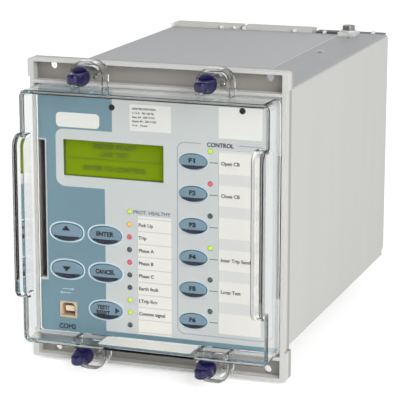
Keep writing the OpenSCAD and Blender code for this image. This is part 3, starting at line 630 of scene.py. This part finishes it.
def makeRing(middle, width, height, bead):
    place = (middle.x, rows["overlayY"] * mm, middle.z)
    bpy.ops.curve.primitive_bezier_circle_add(radius=1, location=(0, 0, 0))
    ring = bpy.context.object
    for point in ring.data.splines[0].bezier_points:
        for end in (point.co, point.handle_left, point.handle_right):
            end.x *= width / 2 * mm
            end.y *= height / 2 * mm
    ring.data.bevel_depth = bead * mm
    ring.data.bevel_resolution = ringLook["sides"]
    ring.data.resolution_u = ringLook["steps"]
    bpy.ops.object.convert(target="MESH")
    ring = bpy.context.object
    ring.rotation_euler = (math.pi / 2, 0, 0)
    ring.location = place
    settle(ring)
    startEdit(ring)
    bpy.ops.transform.resize(value=(1, ringLook["flat"], 1), center_override=place)
    bpy.ops.mesh.remove_doubles(threshold=drawnMerge)
    bpy.ops.mesh.normals_make_consistent(inside=False)
    endEdit()
    bpy.ops.object.shade_smooth()
    return ring


dropSelection()
rings = [makeRing(keyCentre(name), *ringLook[keyKind(name)]) for name in keyNames]
dress(joinAs(rings, "keyRings"), finishes["ringPale"], "element")
print("key rings", len(rings))


# Lamps: one domed lens, copied to each place

statusAt = [(rows["statusX"], rows["statusTop"] - rows["statusStep"] * i) for i in range(10)]
functionAt = [(rows["functionX"], rows["functionTop"] - rows["functionStep"] * i) for i in range(6)]
functionLamps = [(x + rows["lampRight"], z + rows["lampUp"]) for x, z in functionAt]
lampLook = {"sides": 28, "radius": 1.5, "tip": -7.85, "foot": 4.7, "footRadius": 1.95, "footDepth": 1.0,
            "dome": 0.85, "steps": 5, "smooth": 50}
lampPlaces = {
    "green": [statusAt[0], statusAt[7], statusAt[8], functionLamps[0], functionLamps[3]],
    "amber": [statusAt[1]],
    "red": [statusAt[2], statusAt[4], functionLamps[1]],
    "unlit": [statusAt[3], statusAt[5], statusAt[6], statusAt[9], functionLamps[2], functionLamps[4],
              functionLamps[5]],
}


def makeLens():
    look = lampLook
    lens = addDisc(0, look["foot"] - look["footDepth"] / 2, 0, look["footRadius"], look["footDepth"],
                   look["sides"])
    startEdit(lens)
    selectFaces(lens, facesFront)
    # shoulder, stem and domed tip
    bpy.ops.mesh.inset(thickness=(look["footRadius"] - look["radius"]) * mm)
    rise = (look["tip"] - look["foot"] + look["footDepth"]) * mm
    bpy.ops.mesh.extrude_region_move(TRANSFORM_OT_translate={"value": (0, rise, 0)})
    bpy.ops.mesh.bevel(offset=look["dome"] * mm, segments=look["steps"], affect="EDGES")
    endEdit()
    smoothOver(look["smooth"])
    return lens


lens = makeLens()
for colour, places in lampPlaces.items():
    lamps = joinAs([copyTo(lens, (x * mm, 0, z * mm)) for x, z in places], "lamps" + colour.title())
    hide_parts("lamps_" + colour)
    dress(lamps, finishes["lamp" + colour.title()], "element")
bpy.data.objects.remove(lens)
print("lamps", sum(len(places) for places in lampPlaces.values()))


# Lettering, drawn large and brought down to size as a mesh

def textMesh(words, size, bold=0.0, thick=0.0, align="LEFT"):
    dropSelection()
    bpy.ops.object.text_add(location=(0, 0, 0))
    text = bpy.context.object
    text.data.body = words
    text.data.size = size
    text.data.offset = bold
    text.data.extrude = thick
    text.data.resolution_u = 3
    text.data.align_x = align
    bpy.ops.object.convert(target="MESH")
    return bpy.context.object


sample = textMesh("H", 1.0)
capRatio = sample.dimensions.y
bpy.data.objects.remove(sample)


def write(words, x, z, cap, y, width=None, align="LEFT", bold=0.0, thick=0.05, turn=0.0, fat=0.0):
    # x is the line's left end or middle and z the middle of its capitals
    text = textMesh(words, cap / capRatio, bold, thick, align)
    stretch = width / text.dimensions.x if width else 1.0
    text.scale = (stretch * mm, mm, mm)
    text.rotation_euler = (math.pi / 2, 0, turn)
    text.location = (x * mm, y * mm, (z - cap / 2) * mm)
    settle(text)
    startEdit(text)
    bpy.ops.mesh.remove_doubles(threshold=drawnMerge)
    if thick:
        bpy.ops.mesh.normals_make_consistent(inside=False)
    if fat:
        bpy.ops.transform.shrink_fatten(value=fat * mm, use_even_offset=True)
    endEdit()
    if fat:
        # front and back stay flat
        for point in text.data.vertices:
            point.co.y = (y + math.copysign(thick, point.co.y - y * mm)) * mm
    return text


def dash(x0, x1, z, y, height, thick=0.05, edge=0.04):
    # short printed line with softened ends
    line = addBlock(((x0 + x1) / 2 * mm, y * mm, z * mm), ((x1 - x0) * mm, 2 * thick * mm, height * mm))
    roundAll(line, edge, 1)
    return line


inkLift = 0.03  # how far the print's middle lies in front of its sheet
overlayY, cardY = rows["overlayY"] - inkLift, rows["cardY"] - inkLift

cardText = {
    "status": ["Pick Up", "Trip", "Phase A", "Phase B", "Phase C", "Earth fault", "I.Trip Rcv",
               "Comms signal"],
    "function": ["Open CB", "Close CB", "", "Inter Trip Send", "Loop Test"],
    "statusLeft": -11.2, "functionLeft": 38.4, "cap": 1.95, "fat": 0.05,
}
cardPrint = []
for kind, places in (("status", statusAt[1:]), ("function", functionAt)):
    for words, place in zip(cardText[kind], places):
        if words:
            cardPrint.append(write(words, cardText[kind + "Left"], place[1], cardText["cap"], cardY,
                                   fat=cardText["fat"]))
dress(joinAs(cardPrint, "cardLettering"), finishes["inkDark"], "element")

ratingText = {
    "lines": ["LINE PROTECTION", "1 / 5 A   50 / 60 Hz", "Aux. 24 - 250 V DC", "Inputs 44 - 250 V DC",
              "16 in   14 out"],
    "left": -14.6, "top": 62.6, "step": 2.35, "cap": 1.15, "bold": 0.03,
}
ratingPrint = []
for i, words in enumerate(ratingText["lines"]):
    ratingPrint.append(write(words, ratingText["left"], ratingText["top"] - ratingText["step"] * i,
                             ratingText["cap"], overlayY, bold=ratingText["bold"]))
dress(joinAs(ratingPrint, "ratingLettering"), finishes["inkDark"], "element")

healthText = {"words": "PROT. HEALTHY", "x": -14.3, "z": rows["statusTop"], "cap": 2.0, "width": 22.6,
              "bold": 0.07}
dashLook = {"x0": 31.6, "x1": 36.6, "height": 0.5}
slatePrint = [write(**healthText, y=overlayY)]
for place in functionAt:
    slatePrint.append(dash(**dashLook, z=place[1], y=overlayY))
dress(joinAs(slatePrint, "overlayLettering"), finishes["inkSlate"], "element")

headingText = {"words": "CONTROL", "x": 38, "z": 45, "cap": 2.3, "width": 15.8, "bold": 0.1}
heading = write(**headingText, y=overlayY, align="CENTER")
dress(joinAs([heading], "controlHeading"), finishes["inkNavy"], "element")

portText = {"words": "COM2", "x": -56, "z": -69.1, "cap": 2.8, "width": 10.4, "fat": 0.13}
portPrint = [write(**portText, y=overlayY, align="CENTER")]
dress(joinAs(portPrint, "portLettering"), finishes["inkPort"], "element")

arrowLook = {"places": [(-55.6, -46.4, 1), (-56.4, -48.8, -1)], "length": 6.2, "bar": 0.5, "head": 1.05,
             "thick": 0.1, "edge": 0.03}


def arrow(x, z, way):
    # printed arrow: a bar with a three-cornered head
    half = arrowLook["length"] / 2
    bar = dash(x - half, x + half, z, overlayY, arrowLook["bar"])
    head = addDisc(x + way * half, overlayY, z, arrowLook["head"], arrowLook["thick"], 3, way * math.pi / 2)
    roundAll(head, arrowLook["edge"], 1)
    return [bar, head]


arrows = [part for place in arrowLook["places"] for part in arrow(*place)]
dress(joinAs(arrows, "portArrows"), finishes["inkPale"], "element")

displayText = {
    "lines": [("FEEDER READY", 38.6), ("LINE TEST", 34.4), ("ENTER TO CONTROL", 26.2)],
    "middle": -26.5, "y": -3.36, "cap": 2.7, "bold": 0.06, "thick": 0.04,
    "rule": {"x0": -55, "x1": 2, "z": 31.3, "height": 0.35},
}
displayPrint = []
for words, z in displayText["lines"]:
    displayPrint.append(write(words, displayText["middle"], z, displayText["cap"], displayText["y"],
                              align="CENTER", bold=displayText["bold"], thick=displayText["thick"]))
displayPrint.append(dash(**displayText["rule"], y=displayText["y"], thick=displayText["thick"]))
dress(joinAs(displayPrint, "displayLettering"), finishes["lcdInk"], "element")
print("lettering")


# Marks on the keys, drawn in front of them and laid on their crowned faces

markLook = {"drawnY": -10, "thick": 0.09, "cuts": 2, "lift": 0.25}


def triangle(x, z, width, height, turn):
    dropSelection()
    bpy.ops.mesh.primitive_circle_add(vertices=3, radius=1, fill_type="NGON", location=(0, 0, 0))
    mark = bpy.context.object
    size = mark.dimensions.copy()
    startEdit(mark)
    bpy.ops.transform.translate(value=(0, markLook["lift"], 0))
    bpy.ops.mesh.subdivide(number_cuts=markLook["cuts"])
    bpy.ops.transform.resize(value=(width / size.x * mm, height / size.y * mm, 1), center_override=(0, 0, 0))
    bpy.ops.transform.rotate(value=turn, orient_axis="Z", center_override=(0, 0, 0))
    endEdit()
    mark.rotation_euler = (math.pi / 2, 0, 0)
    mark.location = (x * mm, markLook["drawnY"] * mm, z * mm)
    settle(mark)
    return mark


def markKey(name, marks):
    mark = joinAs(marks, "mark" + name.title())
    startEdit(mark)
    selectFaces(mark, lambda face: face.normal.y > 0)
    bpy.ops.mesh.flip_normals()
    endEdit()
    addModifier(mark, "SHRINKWRAP", target=keys[name], wrap_method="PROJECT", use_project_y=True,
                use_positive_direction=True, use_negative_direction=True)
    addModifier(mark, "SOLIDIFY", thickness=markLook["thick"] * mm, offset=1.0)
    dress(mark, finishes["keyInk"], "key_" + name)


def keyText(name, words, right, up, cap, width=None, bold=0.17):
    middle = keyCentre(name) / mm
    return write(words, middle.x + right, middle.z + up, cap, markLook["drawnY"], width, align="CENTER",
                 bold=bold, thick=0.0)


def keyTriangle(name, right, up, width, height, turn):
    middle = keyCentre(name) / mm
    return triangle(middle.x + right, middle.z + up, width, height, turn)


# right and up are from the key's middle
markKey("up", [keyTriangle("up", right=0, up=1.6, width=5.5, height=3.1, turn=0)])
markKey("down", [keyTriangle("down", right=0, up=1.6, width=5.5, height=3.1, turn=math.pi)])
markKey("enter", [keyText("enter", "ENTER", right=0, up=0.9, cap=2.5, width=10.9, bold=0.13)])
markKey("cancel", [keyText("cancel", "CANCEL", right=0, up=0.9, cap=2.4, width=12.2)])
markKey("test", [keyText("test", "TEST/", right=-1.5, up=2.0, cap=2.2, bold=0.12),
                 keyText("test", "RESET", right=-1.5, up=-1.1, cap=2.2, bold=0.12),
                 keyTriangle("test", right=6.4, up=0.4, width=3.6, height=2.6, turn=math.pi / 2)])
for name in keyNames:
    if keyKind(name) == "function":
        markKey(name, [keyText(name, name.upper(), right=0, up=0.9, cap=2.3, width=4.0)])
print("key marks")


# Display window: a clear plate held just off the glass

windowLook = {"backGap": 0.2, "edge": 0.35, "smooth": 40}


def makeWindow():
    low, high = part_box("lcd_window")
    high.y -= windowLook["backGap"] * mm
    window = addBlock((low + high) / 2, high - low)
    window.name = "displayWindow"
    roundAll(window, windowLook["edge"])
    smoothOver(windowLook["smooth"])
    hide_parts("lcd_window")
    return dress(window, finishes["windowClear"], "element")


makeWindow()


# Small fixing screws in the film, low heads with a round recess

screwLook = {"places": [(-26.8, 62.5), (50.9, 65.2)], "sides": 24, "radius": 1.5, "height": 0.5, "seat": 0.1,
             "edge": 0.2, "inset": 0.5, "sink": 0.4, "smooth": 40}


def makeHead(x, z):
    look = screwLook
    head = addDisc(x, rows["overlayY"] - look["height"] / 2 + look["seat"], z, look["radius"], look["height"],
                   look["sides"])
    startEdit(head)
    selectFaces(head, facesFront)
    bpy.ops.mesh.bevel(offset=look["edge"] * mm, segments=2, affect="EDGES")
    bpy.ops.mesh.inset(thickness=look["inset"] * mm)
    bpy.ops.mesh.extrude_region_move(TRANSFORM_OT_translate={"value": (0, look["sink"] * mm, 0)})
    endEdit()
    smoothOver(look["smooth"])
    return head


dress(joinAs([makeHead(x, z) for x, z in screwLook["places"]], "filmScrews"), finishes["blackPlastic"],
      "element")


# Port contacts on the tongue

contactLook = {"count": 2, "pitch": 2.4, "width": 1.1, "depth": 5.0, "thick": 0.18, "front": 0.3,
               "edge": 0.12}


def makeContacts():
    look = contactLook
    low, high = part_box("port_tongue")
    y = low.y + look["depth"] * mm / 2 + look["front"] * mm
    size = (look["width"] * mm, look["depth"] * mm, 2 * look["thick"] * mm)
    contacts = []
    for z in (low.z, high.z):
        for i in range(look["count"]):
            x = (low.x + high.x) / 2 + (i - (look["count"] - 1) / 2) * look["pitch"] * mm
            contact = addBlock((x, y, z), size)
            roundAll(contact, look["edge"])
            contacts.append(contact)
    return joinAs(contacts, "portContacts")


dress(makeContacts(), finishes["brass"], "element")


# Hooks of the terminal blocks over the case's rear edge

tabLook = {"places": [-74, -39, -29.6, -23, 12.3, 33, 66], "width": 2.0, "reach": 3.0, "thick": 2.0,
           "back": 220.6, "wrapTop": 76.6, "flangeTop": 77.8, "flangeEdge": 44.75, "lift": 0.05,
           "noseReach": -0.6, "noseDrop": -0.1, "noseTaper": (0.8, 1, 0.6), "edge": 0.1, "smooth": 40}


def makeTab(x):
    look = tabLook
    level = look["flangeTop"] if x > look["flangeEdge"] else look["wrapTop"]
    y, z = look["back"] - look["reach"] / 2, level + look["thick"] / 2 + look["lift"]
    tab = addBlock((x * mm, y * mm, z * mm), (look["width"] * mm, look["reach"] * mm, look["thick"] * mm))
    startEdit(tab)
    # the nose turns down and thins towards its tip
    selectFaces(tab, facesFront)
    nose = (0, look["noseReach"] * mm, look["noseDrop"] * mm)
    bpy.ops.mesh.extrude_region_move(TRANSFORM_OT_translate={"value": nose})
    bpy.ops.transform.resize(value=look["noseTaper"])
    bpy.ops.mesh.select_all(action="SELECT")
    bpy.ops.mesh.bevel(offset=look["edge"] * mm, segments=2, affect="EDGES")
    endEdit()
    smoothOver(look["smooth"])
    return tab


dress(joinAs([makeTab(x) for x in tabLook["places"]], "terminalTabs"), finishes["tabWhite"], "case")


# Terminal numbers on the floors of the slots, read from behind

numberLook = {"blocks": [(-50.5, 226, 1), (0, 226, 29), (50.5, 223, 57)], "middle": 4.25, "step": 10,
              "rows": 14, "aside": 19.6, "cap": 2.4, "bold": 0.06}


def makeNumbers(blocks):
    look = numberLook
    numbers = []
    for x, floorY, first in blocks:
        for row in range(look["rows"]):
            z = look["middle"] + (row - (look["rows"] - 1) / 2) * look["step"]
            for side in (-1, 1):
                count = first + 2 * (look["rows"] - 1 - row) + (0 if side > 0 else 1)
                numbers.append(write(str(count), x + side * look["aside"], z, look["cap"], floorY + inkLift,
                                     align="CENTER", bold=look["bold"], turn=math.pi))
    return numbers


dress(joinAs(makeNumbers(numberLook["blocks"][:2]), "terminalNumbers"), finishes["inkDark"], "case")
dress(joinAs(makeNumbers(numberLook["blocks"][2:]), "terminalNumbersPale"), finishes["inkPale"], "case")
print("rear fittings")


# Sticker on the cover's lower wall

stickerLook = {"x": (-29, 27), "y": (-27.3, -12), "z": -71.3, "thick": 0.12, "corner": 1.2, "steps": 4}


def makeSticker():
    look = stickerLook
    (x0, x1), (y0, y1) = look["x"], look["y"]
    place = ((x0 + x1) / 2 * mm, (y0 + y1) / 2 * mm, look["z"] * mm)
    dropSelection()
    bpy.ops.mesh.primitive_plane_add(size=1, location=place)
    sticker = bpy.context.object
    sticker.name = "coverSticker"
    sticker.scale = ((x1 - x0) * mm, (y1 - y0) * mm, 1)
    settle(sticker)
    startEdit(sticker, "VERT")
    bpy.ops.mesh.bevel(offset=look["corner"] * mm, segments=look["steps"], affect="VERTICES")
    endEdit()
    addModifier(sticker, "SOLIDIFY", thickness=look["thick"] * mm, offset=1.0)
    return dress(sticker, finishes["paper"], "cover")


makeSticker()
print("small fittings")


# Floor, light and camera

floorLook = {"level": -0.0905, "size": 24.0, "colour": (248, 248, 248), "dull": 0.996, "cloud": 400,
             "rough": 0.8, "lift": 0.52}


def seenRays(tree):
    # rays straight from the camera, and those mirrored or bent before any diffuse bounce
    rays = addNode(tree, "ShaderNodeLightPath").outputs
    bent = mathNode(tree, "MAXIMUM", rays["Is Glossy Ray"], rays["Is Transmission Ray"])
    early = mathNode(tree, "LESS_THAN", rays["Diffuse Depth"], 0.5)
    return rays["Is Camera Ray"], mathNode(tree, "MULTIPLY", bent, early)


def makeFloor():
    look = floorLook
    dropSelection()
    bpy.ops.mesh.primitive_plane_add(size=look["size"], location=(0, 0, look["level"]))
    floor = bpy.context.object
    floor.name = "floor"
    finish, tree, shader, coords = startFinish("floorPaint")
    patch = noise(tree, coords, look["cloud"])
    feed(tree, shader.inputs["Base Color"], mottle(tree, patch, look["colour"], look["dull"], 1.0))
    shader.inputs["Roughness"].default_value = look["rough"]
    # the camera sees the lit floor as white and keeps the shadow
    seen = mathNode(tree, "MAXIMUM", *seenRays(tree))
    shader.inputs["Emission Color"].default_value = (1, 1, 1, 1)
    feed(tree, shader.inputs["Emission Strength"], spread(tree, seen, 0.0, look["lift"]))
    floor.data.materials.append(finish)


makeFloor()

lightAim = Vector((0, 0.05, 0))
lightLook = {
    "keyLight": {"at": (1.7, -1.5, 0.9), "size": 1.5, "power": 34},
    "fillLight": {"at": (-1.6, -1.4, 0.9), "size": 1.5, "power": 10},
}
for name, look in lightLook.items():
    lamp = bpy.data.lights.new(name, "AREA")
    lamp.shape = "SQUARE"
    lamp.size = look["size"]
    lamp.energy = look["power"]
    holder = bpy.data.objects.new(name, lamp)
    scene.collection.objects.link(holder)
    holder.location = look["at"]
    holder.rotation_euler = (lightAim - Vector(look["at"])).to_track_quat("-Z", "Y").to_euler()


def makeWorld():
    # white behind the part, darker on the camera's side, and dimmer again as ambient light
    look = {"ambient": 0.5, "roomSide": 0.03, "from": -0.05, "to": 0.5}
    world = bpy.data.worlds.new("studio")
    scene.world = world
    world.use_nodes = True
    tree = world.node_tree
    way = addNode(tree, "ShaderNodeTexCoord").outputs["Generated"]
    room = spread(tree, along(tree, way, "Y"), look["roomSide"], 1.0, look["from"], look["to"])
    straight, mirrored = seenRays(tree)
    strength = spread(tree, straight, spread(tree, mirrored, look["ambient"], room), 1.0)
    back = tree.nodes["Background"]
    back.inputs["Color"].default_value = (1, 1, 1, 1)
    feed(tree, back.inputs["Strength"], strength)


makeWorld()

cameraLook = {"at": (0.3735, -0.9874, 0.2555), "down": 13.14, "turn": 19.54, "lens": 171.1, "sensor": 36}
camera = bpy.data.cameras.new("camera")
camera.lens = cameraLook["lens"]
camera.sensor_width = cameraLook["sensor"]
eye = bpy.data.objects.new("camera", camera)
scene.collection.objects.link(eye)
eye.location = cameraLook["at"]
eye.rotation_euler = (math.radians(90 - cameraLook["down"]), 0, math.radians(cameraLook["turn"]))
scene.camera = eye
scene.view_settings.view_transform = "Standard"
print("stage, light and camera")
